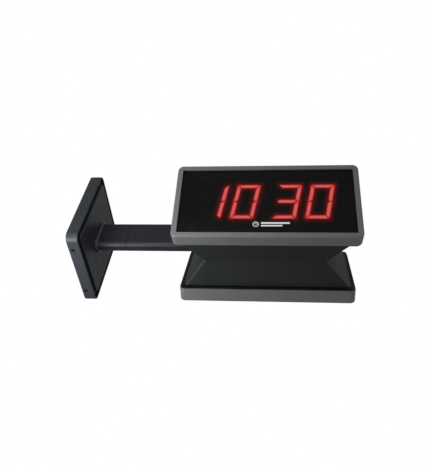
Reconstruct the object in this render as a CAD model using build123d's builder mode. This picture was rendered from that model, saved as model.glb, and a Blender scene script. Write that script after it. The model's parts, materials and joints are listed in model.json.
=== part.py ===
"""Double-sided LED wall clock on a flag-mount arm.

Two identical four-digit clocks hang back to back on a waisted housing, with their faces tilted down.
A flat arm carries the housing out from a wall bracket, which a square canopy covers.

Frame: millimetres. The origin is the centre of the wall bracket's back face. +X points out of the wall
along the arm, -Y is the front clock's side, +Y is the rear clock's side and +Z is up.
"""

import os
from math import cos, radians, sin, tan

from build123d import *

# ---- Clock unit ------------------------------------------------------------------------------------
clock_width = 287.0
clock_height = 137.5
frame_depth = 23.4  # front rim to the back of the clock
frame_wall = 3.0
frame_corner_radius = 9.0
cavity_corner_radius = 5.0
frame_edge_radius = 2.5
rim_width = 8.5  # front rim that shows round the window
rim_thickness = 2.6
window_corner_radius = 2.0
slip = 0.2  # clearance of a part dropped into another
thread_gap = 0.05  # radial gap that stands for engaged threads

lens_thickness = 2.0
mask_thickness = 1.2
mask_wall = 1.6
module_gap = 0.4  # lens to the digits' faces
module_width = 47.5
module_height = 70.0
module_depth = 8.4
board_thickness = 1.6
cover_thickness = 2.0

# ---- Seven-segment digits --------------------------------------------------------------------------
digit_height = 63.5
digit_width = 35.5
digit_slant = 10.0  # degrees
digit_pitch = 50.2  # within a pair
colon_pitch = 64.4  # across the colon
segment_stroke = 5.2
segment_gap = 0.8
segment_depth = 0.9
segment_proud = 0.1
segment_corner = 0.6
colon_dot_radius = 2.6
colon_rise = 11.5
lit_by_digit = ("bc", "abcdef", "abcdg", "abcdef")  # reads 10 30

# ---- Fasteners of the clock ------------------------------------------------------------------------
boss_radius = 4.0
boss_inset = 3.8  # boss centre from the cavity wall, so that the boss grows out of it
cover_screw_radius = 1.25
cover_screw_head_radius = 2.6
cover_screw_length = 11.0
board_screw_radius = 1.25
board_screw_head_radius = 2.5
board_screw_head_height = 1.8
standoff_across_flats = 5.5
standoff_x = 122.0
standoff_y = 47.0

# ---- Hanging the clock -----------------------------------------------------------------------------
hang_gap = 0.3  # back cover to mounting plate
plate_thickness = 3.0
plate_inset = 1.5  # plate edge inside the clock's outline
plate_window_width = 100.0
plate_window_height = 72.0
stud_x = 95.0
stud_y = 40.0
stud_neck_radius = 2.3
stud_head_radius = 4.5
stud_head_height = 2.0
stud_head_gap = 0.5
stud_tail_radius = 2.0
keyhole_clearance = 0.35
lift_travel = 12.0

# ---- Set buttons -----------------------------------------------------------------------------------
button_x = 24.0
button_y = 12.0
button_radius = 3.0
button_clearance = 0.2
button_proud = 1.0
button_flange_radius = 4.0
button_flange_height = 0.8
button_travel = 0.8
switch_size = 6.0
switch_height = 3.0
switch_plunger_radius = 1.7

# ---- Tilt and place of the two faces -----------------------------------------------------------------
tilt = 16.2  # degrees, each face looks down
face_distance = 90.5  # arm's centre plane to the middle of a face
face_drop = 13.0  # middle of a face below the arm's centre line

# ---- Waisted housing -------------------------------------------------------------------------------
waist_width = 200.0
waist_height = 111.5
waist_shift = 3.0  # waist's centre from the clocks' centre, towards the wall
shell_inset = 6.5  # shell edge inside the clock's outline
shell_wall = 3.0
shell_corner_radius = 8.0
web_thickness = 3.0
shell_boss_radius = 4.5
shell_boss_inset = 10.0
shell_boss_depth = 12.0
shell_boss_pilot_radius = 1.7
plate_screw_radius = 1.65
plate_screw_head_radius = 3.6
plate_screw_length = 12.0
waist_boss_radius = 5.0
waist_boss_side_inset = 15.0  # boss centre inside the waist's outline
waist_boss_end_inset = 12.0
m4_radius = 2.0
m4_hole_radius = 2.2
m4_head_radius = 3.8
m4_head_height = 2.6
m4_nut_flats = 7.0
m4_nut_height = 3.2
cable_window_width = 40.0
cable_window_height = 28.0
cable_window_x = 32.0  # from the waist's centre, away from the wall

# ---- Arm -------------------------------------------------------------------------------------------
arm_height = 56.0
arm_depth = 18.5
arm_corner_radius = 6.5
arm_wall = 2.0
arm_reach = 287.5  # canopy's rim to the centre of the clocks
arm_seam = 53.5  # canopy's rim to the joint of socket and arm tube
arm_insertion = 105.0  # length of the arm inside the waist
arm_clearance = 0.15
arm_seam_chamfer = 0.6
joiner_half_length = 40.0
joiner_wall = 2.0
set_screw_from_seam = 29.5
set_screw_z = 9.0
m5_radius = 2.5
m5_hole_radius = 2.6
m5_head_flats = 8.0
m5_head_height = 3.5
m5_nut_height = 4.0
arm_bolt_x = (-80.0, -15.0)  # from the waist's centre
arm_bolt_z = 15.0
spacer_radius = 4.5
bushing_wall = 1.5
bushing_length = 8.0
bushing_lip = 1.0

# ---- Wall bracket and canopy -----------------------------------------------------------------------
canopy_width = 146.5
canopy_height = 166.0
canopy_depth = 18.5
canopy_wall = 2.5
canopy_corner_radius = 12.0
canopy_edge_radius = 1.2
groove_width = 8.5
groove_depth = 4.0
panel_proud = 1.5  # panel's face beyond the rim
panel_corner_radius = 7.0
panel_wall = 2.0
collar_height = 4.0
collar_wall = 3.0
collar_flange = 3.0
collar_flange_thickness = 1.5
canopy_arm_gap = 0.4
bracket_thickness = 2.0
bracket_side_gap = 2.0
bracket_end_gap = 0.5
bracket_corner_radius = 8.0
wall_bolt_spacing_y = 100.0
wall_bolt_spacing_z = 126.0
wall_bolt_hole_radius = 2.75
gang_box_spacing = 83.3
gang_box_hole_radius = 2.1
cable_hole_radius = 11.0
grommet_wall = 1.5
flange_width = 48.0
flange_height = 76.0
flange_thickness = 3.0
flange_corner_radius = 4.0
flange_screw_y = 18.0
flange_screw_z = 31.0
tab_width = 16.0
tab_length = 10.0
canopy_screw_y = 46.0
canopy_screw_x = 6.5
canopy_screw_slot_gap = 0.3
canopy_screw_length = 10.0

# ---- Worked out from the sizes above -----------------------------------------------------------------
clock_x = canopy_depth + arm_reach
seam_x = canopy_depth + arm_seam
waist_x = clock_x - waist_shift
arm_end_x = waist_x - waist_width / 2 + arm_insertion
waist_boss_x = waist_width / 2 - waist_boss_side_inset
waist_boss_z = waist_height / 2 - waist_boss_end_inset
cavity_width = clock_width - 2 * frame_wall
cavity_height = clock_height - 2 * frame_wall
window_width = clock_width - 2 * rim_width
window_height = clock_height - 2 * rim_width
lens_back = rim_thickness + lens_thickness
mask_back = lens_back + mask_thickness
module_front = lens_back + module_gap
module_back = module_front + module_depth
board_back = module_back + board_thickness
cover_front = frame_depth - cover_thickness
boss_x = cavity_width / 2 - boss_inset
boss_y = cavity_height / 2 - boss_inset
tray_width = 2 * (boss_x - boss_radius - slip)
tray_height = 2 * (boss_y - boss_radius - slip)
plate_front = frame_depth + hang_gap
plate_back = plate_front + plate_thickness
digit_x = (
    -colon_pitch / 2 - digit_pitch,
    -colon_pitch / 2,
    colon_pitch / 2,
    colon_pitch / 2 + digit_pitch,
)
web_inner = arm_depth / 2 + arm_clearance
web_outer = web_inner + web_thickness
arm_bore_height = arm_height - 2 * arm_wall
arm_bore_depth = arm_depth - 2 * arm_wall
arm_bore_radius = arm_corner_radius - arm_wall
panel_inset = canopy_wall + groove_width
groove_floor_x = canopy_depth - groove_depth
panel_inner_x = canopy_depth + panel_proud - panel_wall
SIDES = {"front": -1, "rear": 1}


def face_plane(side):
    """Plane of a clock's front rim: x to a reader's right, y up the face, z out of the face."""
    return Plane(
        origin=(clock_x, side * face_distance, -face_drop),
        x_dir=(-side, 0, 0),
        z_dir=(0, side * cos(radians(tilt)), -sin(radians(tilt))),
    )


def waist_plane(side, distance=0.0):
    """Upright plane at a distance from the arm's centre plane, towards one clock."""
    return Plane(
        origin=(waist_x, side * distance, 0), x_dir=(-side, 0, 0), z_dir=(0, side, 0)
    )


def save(part, name):
    """Labels a finished piece and writes its STEP file."""
    part.label = name
    export_step(part, f"parts/{name}.step")


# ---- Clock unit ------------------------------------------------------------------------------------
def make_bezel(face):
    """Frame with its front rim, window and six screw bosses."""
    with BuildPart() as bezel:
        with BuildSketch(face.offset(-frame_depth)):
            RectangleRounded(clock_width, clock_height, frame_corner_radius)
        extrude(amount=frame_depth)
        front = bezel.faces().sort_by(Axis(face.origin, face.z_dir))[-1]
        fillet(front.edges(), frame_edge_radius)
        with BuildSketch(face.offset(-frame_depth)):
            RectangleRounded(cavity_width, cavity_height, cavity_corner_radius)
        extrude(amount=frame_depth - rim_thickness, mode=Mode.SUBTRACT)
        with BuildSketch(face.offset(-frame_depth)):
            RectangleRounded(window_width, window_height, window_corner_radius)
        extrude(amount=frame_depth, mode=Mode.SUBTRACT)
        with BuildSketch(face.offset(-cover_front)):
            with GridLocations(boss_x, 2 * boss_y, 3, 2):
                Circle(boss_radius)
            Rectangle(cavity_width + frame_wall, cavity_height + frame_wall, mode=Mode.INTERSECT)
        extrude(amount=cover_front - mask_back - slip)
        with BuildSketch(face.offset(-cover_front)):
            with GridLocations(boss_x, 2 * boss_y, 3, 2):
                Circle(cover_screw_radius + thread_gap)
        extrude(amount=cover_screw_length, mode=Mode.SUBTRACT)
    return bezel.part


def cavity_outline():
    """Rectangle that drops into the frame."""
    RectangleRounded(cavity_width - 2 * slip, cavity_height - 2 * slip, cavity_corner_radius - slip)


def make_lens(face):
    """Smoked sheet behind the rim."""
    with BuildPart() as lens:
        with BuildSketch(face.offset(-lens_back)):
            cavity_outline()
        extrude(amount=lens_thickness)
    return lens.part


def make_display_mask(face):
    """Black sheet and tray behind the lens, with a window for each digit and a hole for each colon lamp."""
    with BuildPart() as mask:
        with BuildSketch(face.offset(-mask_back)):
            cavity_outline()
        extrude(amount=mask_thickness)
        with BuildSketch(face.offset(-module_back)):
            Rectangle(tray_width, tray_height)
            Rectangle(tray_width - 2 * mask_wall, tray_height - 2 * mask_wall, mode=Mode.SUBTRACT)
        extrude(amount=module_back - mask_back)
        with BuildSketch(face.offset(-mask_back)):
            with Locations(*[(x, 0) for x in digit_x]):
                Rectangle(module_width + 2 * slip, module_height + 2 * slip)
            with Locations(*colon_points()):
                Circle(colon_dot_radius + slip)
        extrude(amount=mask_thickness, mode=Mode.SUBTRACT)
    return mask.part


def colon_points():
    """Centres of the two colon dots, on the digits' slant."""
    lean = colon_rise * tan(radians(digit_slant))
    return [(lean, colon_rise), (-lean, -colon_rise)]


def segment_outline(name):
    """Corner points of one segment, upright and about the digit's centre."""
    right, top = digit_width / 2, digit_height / 2
    stroke, gap = segment_stroke, segment_gap
    bar = [(right - gap, top), (right - stroke - gap, top - stroke)]
    side = [
        (right, top - gap),
        (right - stroke, top - stroke - gap),
        (right - stroke, stroke / 2 + gap / 2),
        (right - stroke / 2, gap / 2),
        (right, gap / 2),
    ]
    middle = [(right - stroke / 2 - gap, 0), (right - stroke - gap, stroke / 2)]
    if name == "a":
        return bar + [(-x, y) for x, y in reversed(bar)]
    if name == "d":
        return [(x, -y) for x, y in segment_outline("a")]
    if name == "g":
        half = middle + [(-x, y) for x, y in reversed(middle)]
        return half + [(-middle[1][0], -middle[1][1]), (middle[1][0], -middle[1][1])]
    flip_x = -1 if name in "ef" else 1
    flip_y = -1 if name in "ce" else 1
    return [(flip_x * x, flip_y * y) for x, y in side]


def segment_sketch(face, depth, wanted, grow):
    """Sketch of the wanted segments of all four digits, grown outwards by a small amount."""
    lean = tan(radians(digit_slant))
    with BuildSketch(face.offset(-depth)) as sketch:
        for x, names in zip(digit_x, wanted):
            for name in names:
                with Locations((x, 0)):
                    corners = [(px + py * lean, py) for px, py in segment_outline(name)]
                    with BuildSketch(mode=Mode.PRIVATE) as one:
                        with BuildLine():
                            Polyline(*corners, close=True)
                        make_face()
                        fillet(one.vertices(), segment_corner)
                        if grow:
                            offset(amount=grow)
                    add(one.sketch)
    return sketch.sketch


def make_digit_modules(face):
    """Four digit bodies with a shallow pocket for each segment."""
    with BuildPart() as modules:
        with BuildSketch(face.offset(-module_back)):
            with Locations(*[(x, 0) for x in digit_x]):
                Rectangle(module_width, module_height)
        extrude(amount=module_depth)
        pocket = segment_depth - segment_proud
        add(segment_sketch(face, module_front + pocket, ["abcdefg"] * 4, thread_gap))
        extrude(amount=pocket, dir=face.z_dir, mode=Mode.SUBTRACT)
    return modules.part


def make_segments(face, lit):
    """Translucent bars of the segments that are lit, or of those that are dark."""
    wanted = [n if lit else "".join(sorted(set("abcdefg") - set(n))) for n in lit_by_digit]
    with BuildPart() as segments:
        add(segment_sketch(face, module_front + segment_depth - segment_proud, wanted, 0))
        extrude(amount=segment_depth, dir=face.z_dir)
    return segments.part


def make_colon_leds(face):
    """Two round colon lamps standing on the board."""
    with BuildPart() as leds:
        with BuildSketch(face.offset(-module_back)):
            with Locations(*colon_points()):
                Circle(colon_dot_radius)
        extrude(amount=module_back - module_front)
    return leds.part


def make_display_board(face):
    """Circuit board behind the digits, with four screw holes."""
    with BuildPart() as board:
        with BuildSketch(face.offset(-board_back)):
            Rectangle(tray_width - mask_wall, tray_height - mask_wall)
            with GridLocations(2 * standoff_x, 2 * standoff_y, 2, 2):
                Circle(board_screw_radius + slip, mode=Mode.SUBTRACT)
        extrude(amount=board_thickness)
    return board.part


def make_board_components(face):
    """Driver chips, regulator, filter capacitors and coil on the back of the board."""
    chips = [(-60, 20, 18, 7.6), (-20, 30, 18, 7.6), (60, 20, 18, 7.6), (70, -22, 12, 12)]
    cans = [(-68, -14, 3.2), (-58, -22, 3.2), (52, -4, 2.5)]
    with BuildPart() as components:
        for x, y, width, height in chips:
            with BuildSketch(face.offset(-board_back)):
                with Locations((x, y)):
                    Rectangle(width, height)
            extrude(amount=-2.0)
        for x, y, radius in cans:
            with BuildSketch(face.offset(-board_back)):
                with Locations((x, y)):
                    Circle(radius)
            extrude(amount=-4.5)
    return components.part


def make_terminal_block(face):
    """Four-way wire terminal, its screw wells facing the back cover's window."""
    ways, pitch, height = 4, 5.0, 5.2
    with BuildPart() as block:
        with BuildSketch(face.offset(-board_back)):
            with Locations((0, -18)):
                Rectangle(ways * pitch + 2, 9)
        extrude(amount=-height)
        with BuildSketch(face.offset(-board_back - height)):
            with Locations((0, -18)):
                with GridLocations(pitch, 0, ways, 1):
                    Circle(1.6)
        extrude(amount=2.5, mode=Mode.SUBTRACT)
    return block.part


def make_button_switches(face):
    """Two tact switches under the set buttons."""
    plunger_top = cover_front - button_flange_height - button_travel - slip
    with BuildPart() as switches:
        with BuildSketch(face.offset(-board_back)):
            with Locations((-button_x, button_y), (button_x, button_y)):
                Rectangle(switch_size, switch_size)
        extrude(amount=-switch_height)
        with BuildSketch(face.offset(-board_back - switch_height)):
            with Locations((-button_x, button_y), (button_x, button_y)):
                Circle(switch_plunger_radius)
        extrude(amount=-(plunger_top - board_back - switch_height))
    return switches.part


def make_board_standoffs(face):
    """Hexagonal posts between the board and the back cover."""
    with BuildPart() as standoffs:
        with BuildSketch(face.offset(-cover_front)):
            with GridLocations(2 * standoff_x, 2 * standoff_y, 2, 2):
                RegularPolygon(standoff_across_flats / 2, 6, major_radius=False)
        extrude(amount=cover_front - board_back)
        with BuildSketch(face.offset(-cover_front)):
            with GridLocations(2 * standoff_x, 2 * standoff_y, 2, 2):
                Circle(board_screw_radius + thread_gap)
        extrude(amount=cover_front, mode=Mode.SUBTRACT)
    return standoffs.part


def make_board_screws(face):
    """Pan-head screws that hold the board to its standoffs."""
    with BuildPart() as screws:
        with BuildSketch(face.offset(-module_back)):
            with GridLocations(2 * standoff_x, 2 * standoff_y, 2, 2):
                Circle(board_screw_head_radius)
        extrude(amount=board_screw_head_height)
        with BuildSketch(face.offset(-module_back)):
            with GridLocations(2 * standoff_x, 2 * standoff_y, 2, 2):
                Circle(board_screw_radius)
        extrude(amount=-(board_thickness + (cover_front - board_back) * 0.8))
    return screws.part


def make_back_cover(face):
    """Back plate with keyholes for the studs, button holes, a terminal window and vent slots."""
    with BuildPart() as cover:
        with BuildSketch(face.offset(-frame_depth)):
            cavity_outline()
            with GridLocations(2 * stud_x, 2 * stud_y, 2, 2):
                with Locations((0, -lift_travel)):
                    Circle(stud_head_radius + 2 * keyhole_clearance, mode=Mode.SUBTRACT)
                with Locations((0, -lift_travel / 2)):
                    SlotCenterToCenter(
                        lift_travel,
                        2 * (stud_neck_radius + keyhole_clearance),
                        rotation=90,
                        mode=Mode.SUBTRACT,
                    )
            with Locations((-button_x, button_y), (button_x, button_y)):
                Circle(button_radius + button_clearance, mode=Mode.SUBTRACT)
            with Locations((0, -18)):
                Rectangle(26, 12, mode=Mode.SUBTRACT)
            with GridLocations(7, 0, 9, 1):
                with Locations((0, 42)):
                    SlotOverall(18, 3, rotation=90, mode=Mode.SUBTRACT)
        extrude(amount=cover_thickness)
        with Locations(face.offset(-frame_depth)):
            with GridLocations(boss_x, 2 * boss_y, 3, 2):
                with Locations(Location((0, 0, 0), (180, 0, 0))):
                    CounterSinkHole(
                        cover_screw_radius + slip,
                        cover_screw_head_radius + thread_gap,
                        depth=cover_thickness,
                        counter_sink_angle=90,
                    )
    return cover.part


def countersunk_screw(plane, points, head_radius, radius, length):
    """Countersunk screws driven along a plane's +z from its surface."""
    cone = head_radius - radius
    with BuildPart() as screws:
        for point in points:
            with BuildSketch(plane):
                with Locations(point):
                    Circle(head_radius)
            with BuildSketch(plane.offset(cone)):
                with Locations(point):
                    Circle(radius)
            loft()
        with BuildSketch(plane.offset(cone)):
            with Locations(*points):
                Circle(radius)
        extrude(amount=length - cone)
        with BuildSketch(plane):
            with Locations(*points):
                Rectangle(head_radius * 1.2, head_radius * 0.25)
                Rectangle(head_radius * 0.25, head_radius * 1.2)
        extrude(amount=cone * 0.6, mode=Mode.SUBTRACT)
    return screws.part


def make_cover_screws(face):
    """Six countersunk screws from the back cover into the frame's bosses."""
    points = [(x, y) for x in (-boss_x, 0, boss_x) for y in (-boss_y, boss_y)]
    return countersunk_screw(
        face.offset(-frame_depth),
        points,
        cover_screw_head_radius,
        cover_screw_radius,
        cover_screw_length,
    )


def make_set_button(face, x):
    """Push button held in the back cover by its flange."""
    with BuildPart() as button:
        with BuildSketch(face.offset(-frame_depth - button_proud)):
            with Locations((x, button_y)):
                Circle(button_radius)
        extrude(amount=button_proud + cover_thickness + button_flange_height)
        fillet(button.faces().sort_by(Axis(face.origin, face.z_dir))[0].edges(), 0.4)
        with BuildSketch(face.offset(-cover_front)):
            with Locations((x, button_y)):
                Circle(button_flange_radius)
        extrude(amount=button_flange_height)
    return button.part


# ---- Mounting plates and studs ---------------------------------------------------------------------
def make_mounting_plate(face):
    """Black steel plate between the shell and the clock."""
    with BuildPart() as plate:
        with BuildSketch(face.offset(-plate_back)):
            RectangleRounded(
                clock_width - 2 * plate_inset,
                clock_height - 2 * plate_inset,
                frame_corner_radius - plate_inset,
            )
            RectangleRounded(plate_window_width, plate_window_height, 6, mode=Mode.SUBTRACT)
            with GridLocations(2 * stud_x, 2 * stud_y, 2, 2):
                Circle(stud_tail_radius + thread_gap, mode=Mode.SUBTRACT)
        extrude(amount=plate_thickness)
        with Locations(face.offset(-plate_front)):
            with Locations(*plate_screw_points()):
                CounterSinkHole(
                    plate_screw_radius + slip,
                    plate_screw_head_radius + thread_gap,
                    depth=plate_thickness,
                    counter_sink_angle=90,
                )
    return plate.part


def plate_screw_points():
    """Where the mounting plate screws down on the shell's corner bosses."""
    x = clock_width / 2 - shell_inset - shell_boss_inset
    y = clock_height / 2 - shell_inset - shell_boss_inset
    return [(sx * x, sy * y) for sx in (-1, 1) for sy in (-1, 1)]


def make_hanger_studs(face):
    """Shouldered studs that the clock's keyholes drop onto."""
    head_back = cover_front - stud_head_gap
    with BuildPart() as studs:
        with GridLocations(2 * stud_x, 2 * stud_y, 2, 2) as grid:
            points = [(place.position.X, place.position.Y) for place in grid.locations]
        for depth, radius, length in (
            (head_back, stud_head_radius, stud_head_height),
            (plate_front, stud_neck_radius, plate_front - head_back),
            (plate_back, stud_tail_radius, plate_thickness),
        ):
            with BuildSketch(face.offset(-depth)):
                with Locations(*points):
                    Circle(radius)
            extrude(amount=length)
    return studs.part


def make_plate_screws(face):
    """Countersunk screws from the mounting plate into the shell."""
    inward = Plane(face.offset(-plate_front).origin, x_dir=-face.x_dir, z_dir=-face.z_dir)
    return countersunk_screw(
        inward, plate_screw_points(), plate_screw_head_radius, plate_screw_radius, plate_screw_length
    )


# ---- Housing ---------------------------------------------------------------------------------------
def shell_block(face, side, inset):
    """Solid wedge from the mounting plate to the waist, drawn in by an inset."""
    radius = shell_corner_radius - inset * 0.5
    with BuildPart() as block:
        with BuildSketch(face.offset(-plate_back)):
            RectangleRounded(
                clock_width - 2 * (shell_inset + inset), clock_height - 2 * (shell_inset + inset), radius
            )
        with BuildSketch(waist_plane(side)):
            RectangleRounded(waist_width - 2 * inset, waist_height - 2 * inset, radius)
        loft(ruled=True)
    return block.part


def make_housing_shell(face, side):
    """Half of the waisted housing: outer wall, inner web, bosses and the arm's notch."""
    outer = shell_block(face, side, 0)
    inner = shell_block(face, side, shell_wall)
    with BuildPart() as web:
        add(shell_block(face, side, shell_wall / 2))
        with BuildSketch(waist_plane(side, web_inner)):
            Rectangle(clock_width, 2 * clock_height)
        extrude(amount=web_thickness, mode=Mode.INTERSECT)
    with BuildPart() as bosses:
        with BuildSketch(face.offset(-plate_back)):
            with Locations(*plate_screw_points()):
                Circle(shell_boss_radius)
        extrude(amount=-shell_boss_depth)
        with BuildSketch(waist_plane(side)):
            with GridLocations(2 * waist_boss_x, 2 * waist_boss_z, 2, 2):
                Circle(waist_boss_radius)
        extrude(amount=web_inner)
        add(outer, mode=Mode.INTERSECT)
    with BuildPart() as shell:
        add(outer)
        add(inner, mode=Mode.SUBTRACT)
        add(web.part)
        add(bosses.part)
        with BuildSketch(face.offset(-plate_back)):
            with Locations(*plate_screw_points()):
                Circle(shell_boss_pilot_radius)
        extrude(amount=-(shell_boss_depth - 2), mode=Mode.SUBTRACT)
        with BuildSketch(waist_plane(side)):
            with GridLocations(2 * waist_boss_x, 2 * waist_boss_z, 2, 2):
                Circle(m4_hole_radius)
            with Locations(*arm_bolt_points(side)):
                Circle(m5_hole_radius)
            with Locations((-side * cable_window_x, 0)):
                RectangleRounded(cable_window_width, cable_window_height, 4)
        extrude(amount=web_outer, mode=Mode.SUBTRACT)
        with BuildSketch(Plane.YZ.offset(clock_x - clock_width / 2)):
            RectangleRounded(
                arm_depth + 2 * arm_clearance, arm_height + 2 * arm_clearance, arm_corner_radius
            )
        extrude(amount=clock_width / 2, mode=Mode.SUBTRACT)
    return shell.part


def arm_bolt_points(side):
    """Arm bolt centres in a waist plane, whose x runs along the arm for the front side only."""
    return [(-side * x, z) for x in arm_bolt_x for z in (-arm_bolt_z, arm_bolt_z)]


def bolts_across(points, radius, head_flats, head_radius, head_height, grip, nut_height):
    """Bolts along +Y through both webs, with heads on the front web's outer face."""
    with BuildPart() as bolts:
        with BuildSketch(waist_plane(-1, web_outer)):
            with Locations(*points):
                if head_flats:
                    RegularPolygon(head_flats / 2, 6, major_radius=False)
                else:
                    Circle(head_radius)
        extrude(amount=head_height)
        with BuildSketch(waist_plane(-1, web_outer)):
            with Locations(*points):
                Circle(radius)
        extrude(amount=-(grip + nut_height + 1))
    return bolts.part


def nuts_across(points, radius, flats, height):
    """Hexagon nuts against the rear web's outer face."""
    with BuildPart() as nuts:
        with BuildSketch(waist_plane(1, web_outer)):
            with Locations(*[(-x, z) for x, z in points]):
                RegularPolygon(flats / 2, 6, major_radius=False)
                Circle(radius + thread_gap, mode=Mode.SUBTRACT)
        extrude(amount=height)
    return nuts.part


# ---- Arm -------------------------------------------------------------------------------------------
def tube_along_x(start, end, height, depth, radius, bore_height, bore_depth, bore_radius):
    """Rounded rectangular tube between two X positions."""
    with BuildPart() as tube:
        with BuildSketch(Plane.YZ.offset(start)):
            RectangleRounded(depth, height, radius)
            RectangleRounded(bore_depth, bore_height, bore_radius, mode=Mode.SUBTRACT)
        extrude(amount=end - start)
    return tube.part


def arm_section(start, end):
    """Length of the arm's own section."""
    return tube_along_x(
        start,
        end,
        arm_height,
        arm_depth,
        arm_corner_radius,
        arm_bore_height,
        arm_bore_depth,
        arm_bore_radius,
    )


def set_screw_places():
    """X, side and Z of each set screw: the socket's enters from the front, the tube's from behind."""
    return [
        (seam_x - set_screw_from_seam, -1, set_screw_z),
        (seam_x + set_screw_from_seam, 1, -set_screw_z),
    ]


def set_screw_cylinders(radius, depth_from, depth_to):
    """Cylinders along Y at the set screws, between two distances from the arm's centre plane."""
    with BuildPart() as cylinders:
        for x, side, z in set_screw_places():
            outside = Plane(origin=(x, side * depth_to, z), x_dir=(1, 0, 0), z_dir=(0, side, 0))
            with BuildSketch(outside):
                Circle(radius)
            extrude(amount=-(depth_to - depth_from))
    return cylinders.part


def make_arm_socket():
    """Wall end of the arm: a screw flange and the tube up to the seam."""
    with BuildPart() as socket:
        with BuildSketch(Plane.YZ.offset(bracket_thickness)):
            RectangleRounded(flange_width, flange_height, flange_corner_radius)
        extrude(amount=flange_thickness)
        with BuildSketch(Plane.YZ.offset(bracket_thickness)):
            RectangleRounded(arm_depth, arm_height, arm_corner_radius)
        extrude(amount=seam_x - bracket_thickness)
        chamfer(socket.faces().sort_by(Axis.X)[-1].edges(), arm_seam_chamfer)
        with BuildSketch(Plane.YZ.offset(bracket_thickness)):
            RectangleRounded(arm_bore_depth, arm_bore_height, arm_bore_radius)
            with GridLocations(2 * flange_screw_y, 2 * flange_screw_z, 2, 2):
                Circle(m4_hole_radius)
        extrude(amount=seam_x, mode=Mode.SUBTRACT)
        add(
            set_screw_cylinders(m4_radius + thread_gap, arm_bore_depth / 2 - 1, arm_depth / 2 + 1),
            mode=Mode.SUBTRACT,
        )
    return socket.part


def make_arm_tube():
    """Arm from the seam into the waist, drilled for the arm bolts."""
    with BuildPart() as tube:
        add(arm_section(seam_x, arm_end_x))
        chamfer(tube.faces().sort_by(Axis.X)[0].outer_wire().edges(), arm_seam_chamfer)
        with BuildSketch(waist_plane(-1, arm_depth)):
            with Locations(*arm_bolt_points(-1)):
                Circle(m5_hole_radius)
        extrude(amount=-2 * arm_depth, mode=Mode.SUBTRACT)
        add(
            set_screw_cylinders(m4_radius + thread_gap, arm_bore_depth / 2 - 1, arm_depth / 2 + 1),
            mode=Mode.SUBTRACT,
        )
    return tube.part


def make_arm_joiner():
    """Hollow liner across the seam, clamped by the set screws."""
    gap = thread_gap
    with BuildPart() as joiner:
        add(
            tube_along_x(
                seam_x - joiner_half_length,
                seam_x + joiner_half_length,
                arm_bore_height - 2 * gap,
                arm_bore_depth - 2 * gap,
                arm_bore_radius - gap,
                arm_bore_height - 2 * joiner_wall,
                arm_bore_depth - 2 * joiner_wall,
                arm_bore_radius / 2,
            )
        )
        add(
            set_screw_cylinders(m4_radius + gap, arm_bore_depth / 2 - joiner_wall - 1, arm_depth / 2),
            mode=Mode.SUBTRACT,
        )
    return joiner.part


def make_arm_set_screws():
    """Socket-head grub screws, flush with the arm's faces."""
    sunk = 0.2
    reach = arm_bore_depth / 2 - joiner_wall
    with BuildPart() as screws:
        add(set_screw_cylinders(m4_radius, reach, arm_depth / 2 - sunk))
        add(set_screw_cylinders(m4_radius / 2, reach + 2, arm_depth / 2), mode=Mode.SUBTRACT)
    return screws.part


def make_arm_spacers():
    """Sleeves inside the arm that stop the bolts crushing it."""
    length = arm_bore_depth - 2 * thread_gap
    with BuildPart() as spacers:
        with BuildSketch(waist_plane(-1, length / 2)):
            with Locations(*arm_bolt_points(-1)):
                Circle(spacer_radius)
                Circle(m5_hole_radius, mode=Mode.SUBTRACT)
        extrude(amount=-length)
    return spacers.part


def make_arm_end_bushing():
    """Plastic edge guard in the arm's open end, for the cable."""
    gap = thread_gap
    with BuildPart() as bushing:
        with BuildSketch(Plane.YZ.offset(arm_end_x)):
            RectangleRounded(arm_depth, arm_height, arm_corner_radius)
        extrude(amount=bushing_lip)
        with BuildSketch(Plane.YZ.offset(arm_end_x)):
            RectangleRounded(arm_bore_depth - 2 * gap, arm_bore_height - 2 * gap, arm_bore_radius - gap)
        extrude(amount=-bushing_length)
        with BuildSketch(Plane.YZ.offset(arm_end_x - bushing_length)):
            RectangleRounded(
                arm_bore_depth - 2 * bushing_wall,
                arm_bore_height - 2 * bushing_wall,
                arm_bore_radius / 2,
            )
        extrude(amount=bushing_length + bushing_lip, mode=Mode.SUBTRACT)
    return bushing.part


# ---- Wall bracket and canopy -----------------------------------------------------------------------
def make_wall_bracket():
    """Steel plate for the wall, with two slotted tabs along its bottom edge for the canopy's screws."""
    width = canopy_width - 2 * (canopy_wall + bracket_side_gap)
    height = canopy_height - 2 * (canopy_wall + bracket_end_gap)
    slot_radius = m4_radius + canopy_screw_slot_gap
    tab_end = bracket_thickness + tab_length
    with BuildPart() as bracket:
        with BuildSketch(Plane.YZ):
            RectangleRounded(width, height, bracket_corner_radius)
            with GridLocations(wall_bolt_spacing_y, wall_bolt_spacing_z, 2, 2):
                Circle(wall_bolt_hole_radius, mode=Mode.SUBTRACT)
            with GridLocations(0, gang_box_spacing, 1, 2):
                Circle(gang_box_hole_radius, mode=Mode.SUBTRACT)
            with GridLocations(2 * flange_screw_y, 2 * flange_screw_z, 2, 2):
                Circle(m4_radius + thread_gap, mode=Mode.SUBTRACT)
            Circle(cable_hole_radius, mode=Mode.SUBTRACT)
        extrude(amount=bracket_thickness)
        with BuildSketch(Plane.XY.offset(-height / 2)):
            with Locations(*[(tab_end / 2, side * canopy_screw_y) for side in (-1, 1)]):
                Rectangle(tab_end, tab_width)
            for side in (-1, 1):
                with Locations((canopy_screw_x + tab_length / 2, side * canopy_screw_y)):
                    SlotCenterToCenter(tab_length, 2 * slot_radius, mode=Mode.SUBTRACT)
        extrude(amount=bracket_thickness)
    return bracket.part


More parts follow.
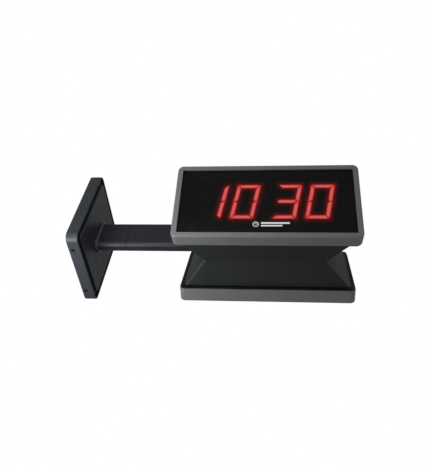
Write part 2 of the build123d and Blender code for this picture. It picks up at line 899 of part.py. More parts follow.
def make_cable_grommet():
    """Rubber ring that lines the bracket's cable hole."""
    with BuildPart() as grommet:
        with BuildSketch(Plane.YZ):
            Circle(cable_hole_radius - thread_gap)
        extrude(amount=bracket_thickness)
        with BuildSketch(Plane.YZ):
            Circle(cable_hole_radius - grommet_wall)
        extrude(amount=bracket_thickness, mode=Mode.SUBTRACT)
    return grommet.part


def make_socket_screws():
    """Four pan-head screws through the socket's flange into the bracket."""
    head_x = bracket_thickness + flange_thickness
    with BuildPart() as screws:
        with BuildSketch(Plane.YZ.offset(head_x)):
            with GridLocations(2 * flange_screw_y, 2 * flange_screw_z, 2, 2):
                Circle(m4_head_radius)
        extrude(amount=m4_head_height)
        with BuildSketch(Plane.YZ.offset(head_x)):
            with GridLocations(2 * flange_screw_y, 2 * flange_screw_z, 2, 2):
                Circle(m4_radius)
        extrude(amount=-head_x)
    return screws.part


def canopy_outline(inset, radius):
    """Canopy's outline drawn in by an inset."""
    RectangleRounded(canopy_width - 2 * inset, canopy_height - 2 * inset, radius)


def arm_outline(gap):
    """Arm's section grown by a gap."""
    RectangleRounded(arm_depth + 2 * gap, arm_height + 2 * gap, arm_corner_radius + gap)


def make_canopy_cover():
    """Open-backed cover with a rim, a groove inside it and a raised panel that the arm passes through."""
    groove_radius = canopy_corner_radius - canopy_wall
    with BuildPart() as cover:
        with BuildSketch(Plane.YZ):
            canopy_outline(0, canopy_corner_radius)
        extrude(amount=canopy_depth)
        fillet(cover.faces().sort_by(Axis.X)[-1].edges(), canopy_edge_radius)
        with BuildSketch(Plane.YZ.offset(groove_floor_x)):
            canopy_outline(canopy_wall, groove_radius)
        extrude(amount=groove_depth, mode=Mode.SUBTRACT)
        with BuildSketch(Plane.YZ.offset(groove_floor_x)):
            canopy_outline(panel_inset, panel_corner_radius)
        extrude(amount=groove_depth + panel_proud)
        fillet(cover.faces().sort_by(Axis.X)[-1].edges(), canopy_edge_radius)
        with BuildSketch(Plane.YZ):
            canopy_outline(canopy_wall, groove_radius)
        extrude(amount=groove_floor_x - panel_wall, mode=Mode.SUBTRACT)
        with BuildSketch(Plane.YZ):
            canopy_outline(panel_inset + panel_wall, panel_corner_radius - panel_wall)
        extrude(amount=panel_inner_x, mode=Mode.SUBTRACT)
        with BuildSketch(Plane.YZ):
            arm_outline(canopy_arm_gap + collar_wall + slip)
        extrude(amount=2 * canopy_depth, mode=Mode.SUBTRACT)
        with BuildSketch(Plane.XY.offset(-canopy_height / 2)):
            with Locations((canopy_screw_x, -canopy_screw_y), (canopy_screw_x, canopy_screw_y)):
                Circle(m4_radius + thread_gap)
        extrude(amount=canopy_wall, mode=Mode.SUBTRACT)
    return cover.part


def make_canopy_collar():
    """Plastic collar that closes the gap round the arm, held behind the panel by its flange."""
    with BuildPart() as collar:
        with BuildSketch(Plane.YZ.offset(panel_inner_x - collar_flange_thickness)):
            arm_outline(canopy_arm_gap + collar_wall + collar_flange)
        extrude(amount=collar_flange_thickness)
        with BuildSketch(Plane.YZ.offset(panel_inner_x)):
            arm_outline(canopy_arm_gap + collar_wall)
        extrude(amount=panel_wall + collar_height)
        fillet(collar.faces().sort_by(Axis.X)[-1].edges(), canopy_edge_radius)
        with BuildSketch(Plane.YZ):
            arm_outline(canopy_arm_gap)
        extrude(amount=2 * canopy_depth, mode=Mode.SUBTRACT)
    return collar.part


def make_canopy_screws():
    """Two low-head screws up through the canopy's bottom wall and the bracket's slotted tabs."""
    points = [(canopy_screw_x, -canopy_screw_y), (canopy_screw_x, canopy_screw_y)]
    underside = Plane.XY.offset(-canopy_height / 2)
    head_height = 0.8
    with BuildPart() as screws:
        with BuildSketch(underside):
            with Locations(*points):
                Circle(m4_radius * 1.5)
        extrude(amount=-head_height)
        with BuildSketch(underside.offset(-head_height)):
            with Locations(*points):
                Circle(m4_radius * 0.6)
        extrude(amount=head_height + 1, mode=Mode.SUBTRACT)
        with BuildSketch(underside.offset(1)):
            with Locations(*points):
                Circle(m4_radius)
        extrude(amount=canopy_screw_length)
        with BuildSketch(underside):
            with Locations(*points):
                Circle(m4_radius)
                Circle(m4_radius * 0.6, mode=Mode.SUBTRACT)
        extrude(amount=1)
    return screws.part


def make_canopy_nuts():
    """Nuts on the canopy's screws, above the bracket's tabs."""
    tab_top = -canopy_height / 2 + canopy_wall + bracket_end_gap + bracket_thickness
    with BuildPart() as nuts:
        with BuildSketch(Plane.XY.offset(tab_top + thread_gap)):
            with Locations((canopy_screw_x, -canopy_screw_y), (canopy_screw_x, canopy_screw_y)):
                RegularPolygon(m4_nut_flats / 2, 6, major_radius=False, rotation=30)
                Circle(m4_radius + thread_gap, mode=Mode.SUBTRACT)
        extrude(amount=m4_nut_height)
    return nuts.part


def build_clock(name, face):
    """Writes every piece of one clock unit."""
    save(make_bezel(face), f"{name}_bezel")
    save(make_lens(face), f"{name}_lens")
    save(make_display_mask(face), f"{name}_display_mask")
    save(make_digit_modules(face), f"{name}_digit_modules")
    save(make_segments(face, lit=True), f"{name}_lit_segments")
    save(make_segments(face, lit=False), f"{name}_dark_segments")
    save(make_colon_leds(face), f"{name}_colon_leds")
    save(make_display_board(face), f"{name}_display_board")
    save(make_board_components(face), f"{name}_board_components")
    save(make_terminal_block(face), f"{name}_terminal_block")
    save(make_button_switches(face), f"{name}_button_switches")
    save(make_board_standoffs(face), f"{name}_board_standoffs")
    save(make_board_screws(face), f"{name}_board_screws")
    save(make_back_cover(face), f"{name}_back_cover")
    save(make_cover_screws(face), f"{name}_cover_screws")
    save(make_set_button(face, -button_x), f"{name}_hour_button")
    save(make_set_button(face, button_x), f"{name}_minute_button")


def build_housing(name, face, side):
    """Writes one half of the housing with the plate that its clock hangs on."""
    save(make_mounting_plate(face), f"{name}_mounting_plate")
    save(make_hanger_studs(face), f"{name}_hanger_studs")
    save(make_plate_screws(face), f"{name}_plate_screws")
    save(make_housing_shell(face, side), f"{name}_housing_shell")


def build_waist_and_arm():
    """Writes the fasteners of the waist and the pieces of the arm."""
    grip = 2 * web_outer
    corners = [(x, z) for x in (-waist_boss_x, waist_boss_x) for z in (-waist_boss_z, waist_boss_z)]
    screws = bolts_across(corners, m4_radius, 0, m4_head_radius, m4_head_height, grip, m4_nut_height)
    save(screws, "housing_screws")
    save(nuts_across(corners, m4_radius, m4_nut_flats, m4_nut_height), "housing_nuts")
    clamps = arm_bolt_points(-1)
    bolts = bolts_across(clamps, m5_radius, m5_head_flats, 0, m5_head_height, grip, m5_nut_height)
    save(bolts, "arm_bolts")
    save(nuts_across(clamps, m5_radius, m5_head_flats, m5_nut_height), "arm_nuts")
    save(make_arm_socket(), "arm_socket")
    save(make_arm_tube(), "arm_tube")
    save(make_arm_joiner(), "arm_joiner")
    save(make_arm_set_screws(), "arm_set_screws")
    save(make_arm_spacers(), "arm_spacers")
    save(make_arm_end_bushing(), "arm_end_bushing")


def build_wall_end():
    """Writes the wall bracket and the canopy."""
    save(make_wall_bracket(), "wall_bracket")
    save(make_cable_grommet(), "cable_grommet")
    save(make_socket_screws(), "socket_screws")
    save(make_canopy_cover(), "canopy_cover")
    save(make_canopy_collar(), "canopy_collar")
    save(make_canopy_screws(), "canopy_screws")
    save(make_canopy_nuts(), "canopy_nuts")


os.makedirs("parts", exist_ok=True)
for side_name, side_sign in SIDES.items():
    build_clock(side_name, face_plane(side_sign))
    build_housing(side_name, face_plane(side_sign), side_sign)
build_waist_and_arm()
build_wall_end()
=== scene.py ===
"""Looks of the double-sided LED wall clock: materials, glow, printed mark, stage, lights and camera."""

import json
import math

import bpy
from mathutils import Matrix, Vector


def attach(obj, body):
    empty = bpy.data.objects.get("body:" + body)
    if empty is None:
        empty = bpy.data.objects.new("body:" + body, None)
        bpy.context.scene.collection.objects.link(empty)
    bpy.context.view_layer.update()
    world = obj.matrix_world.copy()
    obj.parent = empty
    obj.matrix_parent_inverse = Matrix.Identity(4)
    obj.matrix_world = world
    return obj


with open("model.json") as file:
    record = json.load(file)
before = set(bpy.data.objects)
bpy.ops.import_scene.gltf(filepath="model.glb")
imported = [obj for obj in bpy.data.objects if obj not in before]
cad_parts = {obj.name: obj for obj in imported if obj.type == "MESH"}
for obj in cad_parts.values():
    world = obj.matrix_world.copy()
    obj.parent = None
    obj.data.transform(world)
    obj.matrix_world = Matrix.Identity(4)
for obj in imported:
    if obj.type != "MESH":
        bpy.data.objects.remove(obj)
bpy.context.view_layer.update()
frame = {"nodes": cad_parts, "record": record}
record = frame["record"]
cad = frame["nodes"]

# ---- Driving values, in metres ---------------------------------------------------------------------
TILT = math.radians(16.2)  # how far each clock's face leans down
LENS_FRONT = 0.0026  # depth of the lens's faces behind the rim
LENS_BACK = 0.0046

SAME_POINT_DECIMALS = 6
STRAIGHT_TURN = 1e-12  # a smaller turn counts as no corner
SHARPEST_MITRE = 0.5  # cosine at which a grown outline's corner stops stretching

FILM_LIFT = 0.00001  # the painted glow's first bar stands this far into the lens
FILM_STEP = 0.000002  # and each next bar this much further, so that painted halos never share a plane
GLOW_STEPS = (  # distance from the bar and how strong the painted glow is there
    (0.0, 1.0),
    (0.0007, 0.66),
    (0.0016, 0.36),
    (0.003, 0.15),
    (0.0045, 0.08),
    (0.0065, 0.03),
    (0.009, 0.0),
)

MARK_X = 0.008  # the mark's place on the face
MARK_Y = -0.044
MARK_THICKNESS = 0.00006
DIAL_X = MARK_X - 0.023
DIAL_INNER_RADIUS = 0.0034
DIAL_OUTER_RADIUS = 0.0046
DIAL_SIDES = 40
HAND_HALF_WIDTH = 0.0004
MARK_BARS = (  # left, bottom, right and top of the dial's hands, the long bar and the short bar
    (DIAL_X - HAND_HALF_WIDTH, MARK_Y, DIAL_X + HAND_HALF_WIDTH, MARK_Y + 0.0026),
    (DIAL_X + HAND_HALF_WIDTH, MARK_Y, DIAL_X + 0.0022, MARK_Y + 0.0008),
    (MARK_X - 0.015, MARK_Y + 0.0008, MARK_X + 0.028, MARK_Y + 0.0038),
    (MARK_X - 0.015, MARK_Y - 0.0038, MARK_X + 0.017, MARK_Y - 0.0012),
)

FLOOR_SIZE = 40
FLOOR_PLACE = (0.2, 0, -1.6)
BACKDROP_STRENGTH = 1.0
AMBIENT_COLOUR = (0.97, 0.98, 1.0, 1)
AMBIENT_STRENGTH = 0.29

COOL = (0.95, 0.98, 1.0)
WARM = (1.0, 0.98, 0.92)
NEUTRAL = (1, 1, 1)
LIGHTS = (  # name, place, aim, side in metres, power in watts, colour
    ("left", (-0.05, -0.1, -0.3), (0.2, 0.0, -0.04), 0.2, 1.25, COOL),
    ("key", (0.0, -0.38, -0.13), (0.22, -0.05, -0.02), 0.2, 0.45, COOL),
    ("front", (0.1, -0.8, -0.1), (0.2, 0, 0), 0.3, 1.35, COOL),
    ("fill", (0.95, -0.05, -0.05), (0.35, 0, 0), 0.25, 0.65, WARM),
    ("top", (0.3, 0.3, 1.2), (0.3, 0, 0), 0.8, 0.3, NEUTRAL),
)

CAMERA_PLACE = (0.3220, -0.6006, -0.6803)
CAMERA_TURN = (138.6935, -5.0342, 4.0679)  # degrees about x, y and z
CAMERA_LENS_MM = 41.495
CAMERA_SENSOR_MM = 36
CAMERA_CLIP_START = 0.01

# ---- Colours used inside the material recipes ------------------------------------------------------
DUST = (0.42, 0.4, 0.37)
TARNISH = (0.35, 0.32, 0.27)
SMOKE_DARK = (0.003, 0.003, 0.0026)
SMOKE_LIGHT = (0.007, 0.005, 0.0045)
LAMP_DEEP = (1.0, 0.13, 0.125)
LAMP_BRIGHT = (1.0, 0.19, 0.17)
# colours of the painted glow: the red halo painted on the film round the lit bars
HALO_DEEP = (0.9, 0.01, 0.014)
HALO_BRIGHT = (1.0, 0.015, 0.02)
HALO_BASE = (0.02, 0.0, 0.0, 1)
SOLDER_MASK = (0.012, 0.16, 0.05, 1)
SOLDER_MASK_LIGHT = (0.016, 0.2, 0.07, 1)
TRACE_GREEN = (0.03, 0.3, 0.12, 1)
TINNED_PAD = (0.55, 0.55, 0.5)
INK_WHITE = (0.9, 0.9, 0.9)
INK_THIN = (0.75, 0.75, 0.75)
FLOOR_DARK = (0.74, 0.74, 0.74)
FLOOR_LIGHT = (0.8, 0.8, 0.8)


# ---- Places taken from the frame -------------------------------------------------------------------
def face_matrix(side):
    """Face frame of a clock: x to its reader's right, y up the face, z out of it.

    The side is -1 for the front clock and 1 for the rear one. The origin is the middle of the rim.
    """
    z_axis = Vector((0, side * math.cos(TILT), -math.sin(TILT)))
    x_axis = Vector((-side, 0, 0))
    y_axis = z_axis.cross(x_axis)
    lens = cad["front_lens" if side < 0 else "rear_lens"]
    corners = [vertex.co for vertex in lens.data.vertices]

    def middle(axis):
        reach = [axis.dot(corner) for corner in corners]
        return (min(reach) + max(reach)) / 2

    rim = max(z_axis.dot(corner) for corner in corners) + LENS_FRONT
    centre = middle(x_axis) * x_axis + middle(y_axis) * y_axis + rim * z_axis
    rotation = Matrix((x_axis, y_axis, z_axis)).transposed().to_4x4()
    return Matrix.Translation(centre) @ rotation


# ---- Node helpers ----------------------------------------------------------------------------------
def link(tree, source, target):
    """Link from an output socket to an input socket."""
    tree.links.new(source, target)


def new_material(name):
    """Material with its untouched Principled shader; returns it, its tree and the shader."""
    material = bpy.data.materials.new(name)
    material.use_nodes = True
    tree = material.node_tree
    shader = tree.nodes["Principled BSDF"]
    return material, tree, shader


def object_coords(tree, stretch=(1, 1, 1)):
    """Object coordinates in metres, optionally stretched."""
    coords = tree.nodes.new("ShaderNodeTexCoord")
    mapping = tree.nodes.new("ShaderNodeMapping")
    mapping.inputs["Scale"].default_value = stretch
    link(tree, coords.outputs["Object"], mapping.inputs["Vector"])
    return mapping.outputs["Vector"]


def noise(tree, vector, scale, detail=3.0, roughness=0.55):
    """Noise value between 0 and 1."""
    node = tree.nodes.new("ShaderNodeTexNoise")
    node.inputs["Scale"].default_value = scale
    node.inputs["Detail"].default_value = detail
    node.inputs["Roughness"].default_value = roughness
    link(tree, vector, node.inputs["Vector"])
    return node.outputs["Fac"]


def remap(tree, value, low, high, from_low=0.3, from_high=0.7):
    """Value stretched to a new range and clamped."""
    node = tree.nodes.new("ShaderNodeMapRange")
    node.inputs["From Min"].default_value = from_low
    node.inputs["From Max"].default_value = from_high
    node.inputs["To Min"].default_value = low
    node.inputs["To Max"].default_value = high
    link(tree, value, node.inputs["Value"])
    return node.outputs["Result"]


def blend_colours(tree, factor, first, second):
    """Mix of two colours, each a tuple or a socket."""
    node = tree.nodes.new("ShaderNodeMix")
    node.data_type = "RGBA"
    link(tree, factor, node.inputs["Factor"])
    colour_inputs = [socket for socket in node.inputs if socket.type == "RGBA"]
    for socket, value in zip(colour_inputs, (first, second)):
        if isinstance(value, tuple):
            socket.default_value = (*value, 1)
        else:
            link(tree, value, socket)
    return next(socket for socket in node.outputs if socket.type == "RGBA")


def multiply(tree, first, second):
    """Product of two values."""
    node = tree.nodes.new("ShaderNodeMath")
    node.operation = "MULTIPLY"
    link(tree, first, node.inputs[0])
    link(tree, second, node.inputs[1])
    return node.outputs["Value"]


def bump(tree, height, strength, distance, shader):
    """Bump fed into the shader's normal."""
    node = tree.nodes.new("ShaderNodeBump")
    node.inputs["Strength"].default_value = strength
    node.inputs["Distance"].default_value = distance
    link(tree, height, node.inputs["Height"])
    link(tree, node.outputs["Normal"], shader.inputs["Normal"])


def mix_for_camera(tree, others, camera, output):
    """Shader that the camera sees one way and every other ray another way."""
    paths = tree.nodes.new("ShaderNodeLightPath")
    mix = tree.nodes.new("ShaderNodeMixShader")
    link(tree, paths.outputs["Is Camera Ray"], mix.inputs["Fac"])
    link(tree, others, mix.inputs[1])
    link(tree, camera, mix.inputs[2])
    link(tree, mix.outputs["Shader"], output)


def shade(colour, factor):
    """Colour scaled by a factor."""
    return tuple(min(1.0, channel * factor) for channel in colour)


def dusted(tree, colour, amount):
    """Light dust on surfaces that face up, broken by noise."""
    geometry = tree.nodes.new("ShaderNodeNewGeometry")
    split = tree.nodes.new("ShaderNodeSeparateXYZ")
    link(tree, geometry.outputs["Normal"], split.inputs["Vector"])
    facing_up = remap(tree, split.outputs["Z"], 0, amount, from_low=0.55, from_high=1.0)
    patches = noise(tree, object_coords(tree), scale=45, detail=5, roughness=0.7)
    return blend_colours(tree, multiply(tree, facing_up, patches), colour, DUST)


# ---- Material recipes ------------------------------------------------------------------------------
def moulded(
    name, colour, roughness, grain=2600, grain_depth=0.00004, variation=0.08, dust=0.35, specular=0.5
):
    """Moulded or painted surface: fine grain, faint blotches, uneven gloss and dust on top."""
    material, tree, shader = new_material(name)
    vector = object_coords(tree)
    blotches = remap(tree, noise(tree, vector, scale=22, detail=4), 0, 1)
    tone = blend_colours(tree, blotches, shade(colour, 1 - variation), shade(colour, 1 + variation))
    specks = noise(tree, vector, scale=900, detail=2, roughness=0.8)
    speck_mask = remap(tree, specks, 0, 0.35, from_low=0.66, from_high=0.8)
    tone = blend_colours(tree, speck_mask, tone, shade(colour, 0.6))
    link(tree, dusted(tree, tone, dust), shader.inputs["Base Color"])
    gloss = noise(tree, vector, scale=60, detail=3)
    link(tree, remap(tree, gloss, roughness - 0.05, roughness + 0.06), shader.inputs["Roughness"])
    shader.inputs["Specular IOR Level"].default_value = specular
    bump(tree, noise(tree, vector, scale=grain, detail=2), 0.55, grain_depth, shader)
    return material


def metal(name, colour, roughness, stretch=(1, 1, 1), tarnish=TARNISH):
    """Plated or bare metal: drawn streaks and cloudy tarnish."""
    material, tree, shader = new_material(name)
    vector = object_coords(tree)
    streaks = noise(tree, object_coords(tree, stretch), scale=700, detail=4, roughness=0.6)
    clouds = noise(tree, vector, scale=55, detail=5, roughness=0.65)
    cloud_mask = remap(tree, clouds, 0, 0.25, from_low=0.4, from_high=0.75)
    tone = blend_colours(tree, remap(tree, streaks, 0, 1), shade(colour, 0.85), shade(colour, 1.1))
    link(tree, blend_colours(tree, cloud_mask, tone, tarnish), shader.inputs["Base Color"])
    shader.inputs["Metallic"].default_value = 1.0
    link(tree, remap(tree, streaks, roughness - 0.06, roughness + 0.1), shader.inputs["Roughness"])
    bump(tree, streaks, 0.3, 0.00003, shader)
    return material


def smoked_lens(name):
    """Smoked acrylic: nearly black, see-through, with a soft sheen that varies a little."""
    material, tree, shader = new_material(name)
    vector = object_coords(tree)
    haze = remap(tree, noise(tree, vector, scale=14, detail=4, roughness=0.6), 0, 1)
    link(tree, blend_colours(tree, haze, SMOKE_DARK, SMOKE_LIGHT), shader.inputs["Base Color"])
    sheen = remap(tree, noise(tree, vector, scale=35, detail=4), 0.12, 0.2)
    link(tree, sheen, shader.inputs["Roughness"])
    shader.inputs["Alpha"].default_value = 0.5
    shader.inputs["Specular IOR Level"].default_value = 0.22
    bump(tree, noise(tree, vector, scale=30, detail=2), 0.05, 0.0003, shader)
    material.surface_render_method = "BLENDED"
    return material


def lit_segment(name):
    """Glowing bar: its red pales and deepens in small patches."""
    material, tree, shader = new_material(name)
    vector = object_coords(tree)
    lamps = remap(tree, noise(tree, vector, scale=150, detail=2), 0, 1)
    tone = blend_colours(tree, lamps, LAMP_DEEP, LAMP_BRIGHT)
    link(tree, tone, shader.inputs["Emission Color"])
    link(tree, tone, shader.inputs["Base Color"])
    shader.inputs["Emission Strength"].default_value = 2.3
    sheen = remap(tree, noise(tree, vector, scale=400, detail=2), 0.35, 0.5)
    link(tree, sheen, shader.inputs["Roughness"])
    bump(tree, noise(tree, vector, scale=1200, detail=2), 0.2, 0.00003, shader)
    return material


def circuit_board(name):
    """Green solder mask over traces, with tinned pads."""
    material, tree, shader = new_material(name)
    vector = object_coords(tree)
    tracks = tree.nodes.new("ShaderNodeTexBrick")
    tracks.inputs["Scale"].default_value = 160
    tracks.inputs["Mortar Size"].default_value = 0.06
    tracks.inputs["Color1"].default_value = SOLDER_MASK
    tracks.inputs["Color2"].default_value = SOLDER_MASK_LIGHT
    tracks.inputs["Mortar"].default_value = TRACE_GREEN
    link(tree, vector, tracks.inputs["Vector"])
    pads = tree.nodes.new("ShaderNodeTexVoronoi")
    pads.inputs["Scale"].default_value = 170
    link(tree, vector, pads.inputs["Vector"])
    pad_mask = remap(tree, pads.outputs["Distance"], 1, 0, from_low=0.16, from_high=0.2)
    tone = blend_colours(tree, pad_mask, tracks.outputs["Color"], TINNED_PAD)
    link(tree, tone, shader.inputs["Base Color"])
    sheen = remap(tree, noise(tree, vector, scale=80, detail=3), 0.3, 0.45)
    link(tree, sheen, shader.inputs["Roughness"])
    bump(tree, tracks.outputs["Fac"], 0.3, 0.00004, shader)
    return material


def rubber(name, colour):
    """Matte rubber with a fine bloom."""
    material, tree, shader = new_material(name)
    vector = object_coords(tree)
    bloom = noise(tree, vector, scale=120, detail=5, roughness=0.7)
    bloom_mask = remap(tree, bloom, 0, 0.4, from_low=0.45, from_high=0.7)
    link(tree, blend_colours(tree, bloom_mask, colour, shade(colour, 2.0)), shader.inputs["Base Color"])
    sheen = remap(tree, noise(tree, vector, scale=300, detail=3), 0.7, 0.88)
    link(tree, sheen, shader.inputs["Roughness"])
    bump(tree, noise(tree, vector, scale=1800, detail=3), 0.4, 0.00005, shader)
    return material


def painted_glow_material(name):
    """Painted glow: red light painted round a lit bar on an emissive see-through film, clear where
    there is none.
    """
    material, tree, shader = new_material(name)
    amount = tree.nodes.new("ShaderNodeAttribute")
    amount.attribute_name = "glow"
    flicker = remap(tree, noise(tree, object_coords(tree), scale=90, detail=3), 0.8, 1.0)
    link(tree, multiply(tree, amount.outputs["Fac"], flicker), shader.inputs["Alpha"])
    link(tree, blend_colours(tree, flicker, HALO_DEEP, HALO_BRIGHT), shader.inputs["Emission Color"])
    shader.inputs["Emission Strength"].default_value = 0.7
    shader.inputs["Base Color"].default_value = HALO_BASE
    shader.inputs["Roughness"].default_value = 0.6
    shader.inputs["Specular IOR Level"].default_value = 0.0
    material.surface_render_method = "BLENDED"
    return material


def print_ink(name):
    """White screen print with faint pinholes."""
    material, tree, shader = new_material(name)
    vector = object_coords(tree)
    pinholes = noise(tree, vector, scale=2500, detail=2)
    pinhole_mask = remap(tree, pinholes, 0, 1, from_low=0.62, from_high=0.7)
    link(tree, blend_colours(tree, pinhole_mask, INK_WHITE, INK_THIN), shader.inputs["Base Color"])
    sheen = remap(tree, noise(tree, vector, scale=500, detail=2), 0.5, 0.65)
    link(tree, sheen, shader.inputs["Roughness"])
    return material


# ---- Materials of the record's slots ---------------------------------------------------------------
ALONG_X = (0.04, 1, 1)
ALONG_Z = (1, 1, 0.04)
SLOT_MATERIALS = {
    "bezel_plastic": lambda n: moulded(n, (0.152, 0.152, 0.15), 0.36, variation=0.05),
    "smoked_lens": smoked_lens,
    "mask_plastic": lambda n: moulded(n, (0.006, 0.006, 0.006), 0.6, dust=0),
    "module_plastic": lambda n: moulded(n, (0.008, 0.007, 0.007), 0.5, dust=0),
    "lit_segment": lit_segment,
    "dark_segment": lambda n: moulded(n, (0.03, 0.012, 0.012), 0.45, grain=1500, dust=0),
    "colon_lamp": lambda n: moulded(n, (0.035, 0.01, 0.01), 0.3, grain=1500, dust=0),
    "circuit_board": circuit_board,
    "component_plastic": lambda n: moulded(n, (0.02, 0.02, 0.022), 0.5, dust=0.1),
    "terminal_plastic": lambda n: moulded(n, (0.03, 0.24, 0.09), 0.4, dust=0.1),
    "switch_plastic": lambda n: moulded(n, (0.025, 0.025, 0.025), 0.4, dust=0.1),
    "brass_post": lambda n: metal(n, (0.75, 0.55, 0.25), 0.32, tarnish=(0.3, 0.2, 0.08)),
    "zinc_steel": lambda n: metal(n, (0.62, 0.61, 0.57), 0.34),
    "black_steel": lambda n: metal(n, (0.05, 0.05, 0.052), 0.38, tarnish=(0.09, 0.08, 0.07)),
    "cover_plastic": lambda n: moulded(n, (0.022, 0.022, 0.024), 0.55),
    "button_plastic": lambda n: moulded(n, (0.4, 0.4, 0.39), 0.35),
    # the plate's near-black is partly its own black paint and partly painted shade, darkened to show
    # the shadow in the gap between bezel and housing
    "plate_paint": lambda n: moulded(
        n, (0.004, 0.004, 0.004), 0.5, grain=1400, grain_depth=0.00006, specular=0.2
    ),
    "housing_plastic": lambda n: moulded(
        n, (0.022, 0.0245, 0.0235), 0.55, grain=1900, grain_depth=0.00006, specular=0.25
    ),
    "arm_paint": lambda n: moulded(n, (0.013, 0.0145, 0.018), 0.44, grain=1500, specular=0.35),
    "joiner_metal": lambda n: metal(n, (0.72, 0.73, 0.75), 0.3, stretch=ALONG_X),
    "bushing_plastic": lambda n: moulded(n, (0.02, 0.02, 0.02), 0.5),
    "bracket_steel": lambda n: metal(n, (0.58, 0.57, 0.54), 0.36, stretch=ALONG_Z),
    "grommet_rubber": lambda n: rubber(n, (0.014, 0.014, 0.014)),
    "canopy_paint": lambda n: moulded(
        n, (0.031, 0.034, 0.039), 0.42, grain=1300, grain_depth=0.00002, specular=0.3
    ),
    "collar_plastic": lambda n: moulded(n, (0.06, 0.063, 0.068), 0.32),
}


def dress_cad():
    """Gives every CAD node the material of its slot."""
    made = {}
    for part in record["subparts"]:
        slot = part["material_slot"]
        if slot not in made:
            made[slot] = SLOT_MATERIALS[slot](slot)
        mesh = cad[part["node"]].data
        mesh.materials.clear()
        mesh.materials.append(made[slot])


# ---- Shared by the added pieces --------------------------------------------------------------------
def new_piece(name, vertices, faces, material):
    """Object made of a new mesh with one material."""
    mesh = bpy.data.meshes.new(name)
    mesh.from_pydata(vertices, [], faces)
    mesh.materials.append(material)
    piece = bpy.data.objects.new(name, mesh)
    bpy.context.collection.objects.link(piece)
    return piece


# ---- Painted glow round the lit segments -----------------------------------------------------------
def convex_outline(points):
    """Counter-clockwise convex outline of 2-D points."""
    points = sorted(set(points))

    def half(ordered):
        chain = []
        for point in ordered:
            while len(chain) > 1:
                (ax, ay), (bx, by) = chain[-2], chain[-1]
                if (bx - ax) * (point[1] - ay) - (by - ay) * (point[0] - ax) > STRAIGHT_TURN:
                    break
                chain.pop()
            chain.append(point)
        return chain[:-1]

    return half(points) + half(points[::-1])


def segment_outlines(node, to_face):
    """Outline of each separate bar of a CAD node, in the face frame."""
    mesh = node.data
    parent = list(range(len(mesh.vertices)))

    def find(i):
        while parent[i] != i:
            parent[i] = parent[parent[i]]
            i = parent[i]
        return i

    same = {}
    for vertex in mesh.vertices:
        key = tuple(round(c, SAME_POINT_DECIMALS) for c in vertex.co)
        same.setdefault(key, vertex.index)
        parent[find(vertex.index)] = find(same[key])
    for edge in mesh.edges:
        parent[find(edge.vertices[0])] = find(edge.vertices[1])
    groups = {}
    for vertex in mesh.vertices:
        local = to_face @ vertex.co
        point = (round(local.x, SAME_POINT_DECIMALS), round(local.y, SAME_POINT_DECIMALS))
        groups.setdefault(find(vertex.index), []).append(point)
    return [convex_outline(points) for points in groups.values()]


def grown(outline, distance):
    """Outline moved outwards by a distance."""
    moved = []
    count = len(outline)
    for i, (x, y) in enumerate(outline):
        before = Vector(outline[i - 1])
        after = Vector(outline[(i + 1) % count])
        first = (Vector((x, y)) - before).normalized()
        second = (after - Vector((x, y))).normalized()
        normal = Vector((first.y + second.y, -first.x - second.x)).normalized()
        reach = distance / max(SHARPEST_MITRE, normal.dot(Vector((first.y, -first.x))))
        moved.append((x + normal.x * reach, y + normal.y * reach))
    return moved


def make_painted_glow(name, side, node, body, material):
    """Emissive film on the back of the lens, with a painted glow round each lit bar."""
    matrix = face_matrix(side)
    vertices, faces, levels = [], [], []
    for index, outline in enumerate(segment_outlines(cad[node], matrix.inverted())):
        depth = -LENS_BACK + FILM_LIFT + index * FILM_STEP
        rings = []
        for distance, level in GLOW_STEPS:
            ring = grown(outline, distance)
            rings.append(range(len(vertices), len(vertices) + len(ring)))
            vertices += [matrix @ Vector((x, y, depth)) for x, y in ring]
            levels += [level] * len(ring)
        for inner, outer in zip(rings, rings[1:]):
            for i in range(len(inner)):
                j = (i + 1) % len(inner)
                faces.append((inner[i], outer[i], outer[j], inner[j]))
    film = new_piece(name, vertices, faces, material)
    attribute = film.data.attributes.new("glow", "FLOAT", "POINT")
    attribute.data.foreach_set("value", levels)
    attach(film, body)


# ---- Printed mark ----------------------------------------------------------------------------------
def circle_points(x, y, radius):
    """Points round a circle."""
    angles = [2 * math.pi * i / DIAL_SIDES for i in range(DIAL_SIDES)]
    return [(x + radius * math.cos(angle), y + radius * math.sin(angle)) for angle in angles]


def add_bar(vertices, faces, corners, matrix, back, front):
    """Adds a closed rectangular bar, given its left, bottom, right and top."""
    left, bottom, right, top = corners
    outline = [(left, bottom), (right, bottom), (right, top), (left, top)]
    start = len(vertices)
    count = len(outline)
    for depth in (back, front):
        vertices.extend(matrix @ Vector((x, y, depth)) for x, y in outline)
    faces.append(tuple(range(start + count - 1, start - 1, -1)))
    faces.append(tuple(range(start + count, start + 2 * count)))
    for i in range(count):
        j = (i + 1) % count
        faces.append((start + i, start + j, start + count + j, start + count + i))


def add_ring(vertices, faces, x, y, inner, outer, matrix, back, front):
    """Adds a closed flat ring."""
    start = len(vertices)
    loops = ((inner, back), (outer, back), (outer, front), (inner, front))
    for radius, depth in loops:
        vertices.extend(matrix @ Vector((px, py, depth)) for px, py in circle_points(x, y, radius))
    for k in range(len(loops)):
        a = start + k * DIAL_SIDES
        b = start + ((k + 1) % len(loops)) * DIAL_SIDES
        for i in range(DIAL_SIDES):
            j = (i + 1) % DIAL_SIDES
            faces.append((a + i, a + j, b + j, b + i))


def make_mark(name, side, body, material):
    """Plain printed mark under the digits: a small dial and two bars."""
    matrix = face_matrix(side)
    back = -LENS_FRONT
    front = back + MARK_THICKNESS
    vertices, faces = [], []
    add_ring(vertices, faces, DIAL_X, MARK_Y, DIAL_INNER_RADIUS, DIAL_OUTER_RADIUS, matrix, back, front)
    for corners in MARK_BARS:
        add_bar(vertices, faces, corners, matrix, back, front)
    mark = new_piece(name, vertices, faces, material)
    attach(mark, body)


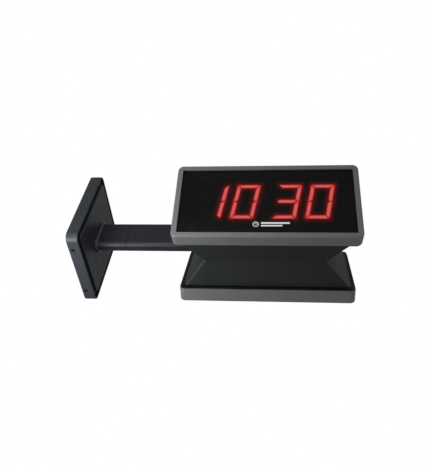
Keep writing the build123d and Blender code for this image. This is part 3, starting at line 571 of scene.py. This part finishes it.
# ---- Stage -----------------------------------------------------------------------------------------
def make_floor():
    """Plain pale floor well below the clock.

    Seen directly it stays pale, and the light it throws up on the clock is its own dim bounce.
    """
    bpy.ops.mesh.primitive_plane_add(size=FLOOR_SIZE, location=FLOOR_PLACE)
    floor = bpy.context.object
    floor.name = "floor"
    material, tree, shader = new_material("floor_paint")
    mottle = remap(tree, noise(tree, object_coords(tree), scale=3, detail=4), 0, 1)
    tone = blend_colours(tree, mottle, FLOOR_DARK, FLOOR_LIGHT)
    link(tree, tone, shader.inputs["Base Color"])
    shader.inputs["Roughness"].default_value = 0.9
    seen = tree.nodes.new("ShaderNodeEmission")
    link(tree, tone, seen.inputs["Color"])
    surface = tree.nodes["Material Output"].inputs["Surface"]
    mix_for_camera(tree, shader.outputs["BSDF"], seen.outputs["Emission"], surface)
    floor.data.materials.append(material)


def make_world():
    """White backdrop with a softer grey light from all round."""
    world = bpy.data.worlds.new("studio")
    bpy.context.scene.world = world
    world.use_nodes = True
    tree = world.node_tree
    backdrop = tree.nodes["Background"]
    backdrop.inputs["Color"].default_value = (1, 1, 1, 1)
    backdrop.inputs["Strength"].default_value = BACKDROP_STRENGTH
    ambient = tree.nodes.new("ShaderNodeBackground")
    ambient.inputs["Color"].default_value = AMBIENT_COLOUR
    ambient.inputs["Strength"].default_value = AMBIENT_STRENGTH
    surface = tree.nodes["World Output"].inputs["Surface"]
    mix_for_camera(tree, ambient.outputs["Background"], backdrop.outputs["Background"], surface)


def area_light(name, place, aim, size, power, colour):
    """Square soft light pointed at a spot."""
    data = bpy.data.lights.new(name, "AREA")
    data.size = size
    data.energy = power
    data.color = colour
    light = bpy.data.objects.new(name, data)
    light.location = place
    light.rotation_euler = (Vector(aim) - Vector(place)).to_track_quat("-Z", "Y").to_euler()
    light.visible_camera = False
    bpy.context.collection.objects.link(light)


def make_camera():
    """Camera in front of the clock and below it, looking up."""
    data = bpy.data.cameras.new("camera")
    data.lens = CAMERA_LENS_MM
    data.sensor_width = CAMERA_SENSOR_MM
    data.clip_start = CAMERA_CLIP_START
    camera = bpy.data.objects.new("camera", data)
    camera.location = CAMERA_PLACE
    camera.rotation_euler = tuple(math.radians(angle) for angle in CAMERA_TURN)
    bpy.context.collection.objects.link(camera)
    bpy.context.scene.camera = camera


dress_cad()
# the glow film is painted light: an emissive sheet showing the red light that spills round the lit bars
glow = painted_glow_material("painted_segment_glow")
ink = print_ink("mark_ink")
for name, side in (("front", -1), ("rear", 1)):
    make_painted_glow(f"{name}_painted_glow_sheet", side, f"{name}_lit_segments", f"{name}_clock", glow)
    make_mark(f"{name}_printed_mark", side, f"{name}_clock", ink)
make_floor()
make_world()
for light in LIGHTS:
    area_light(*light)
make_camera()
bpy.context.scene.view_settings.view_transform = "Standard"
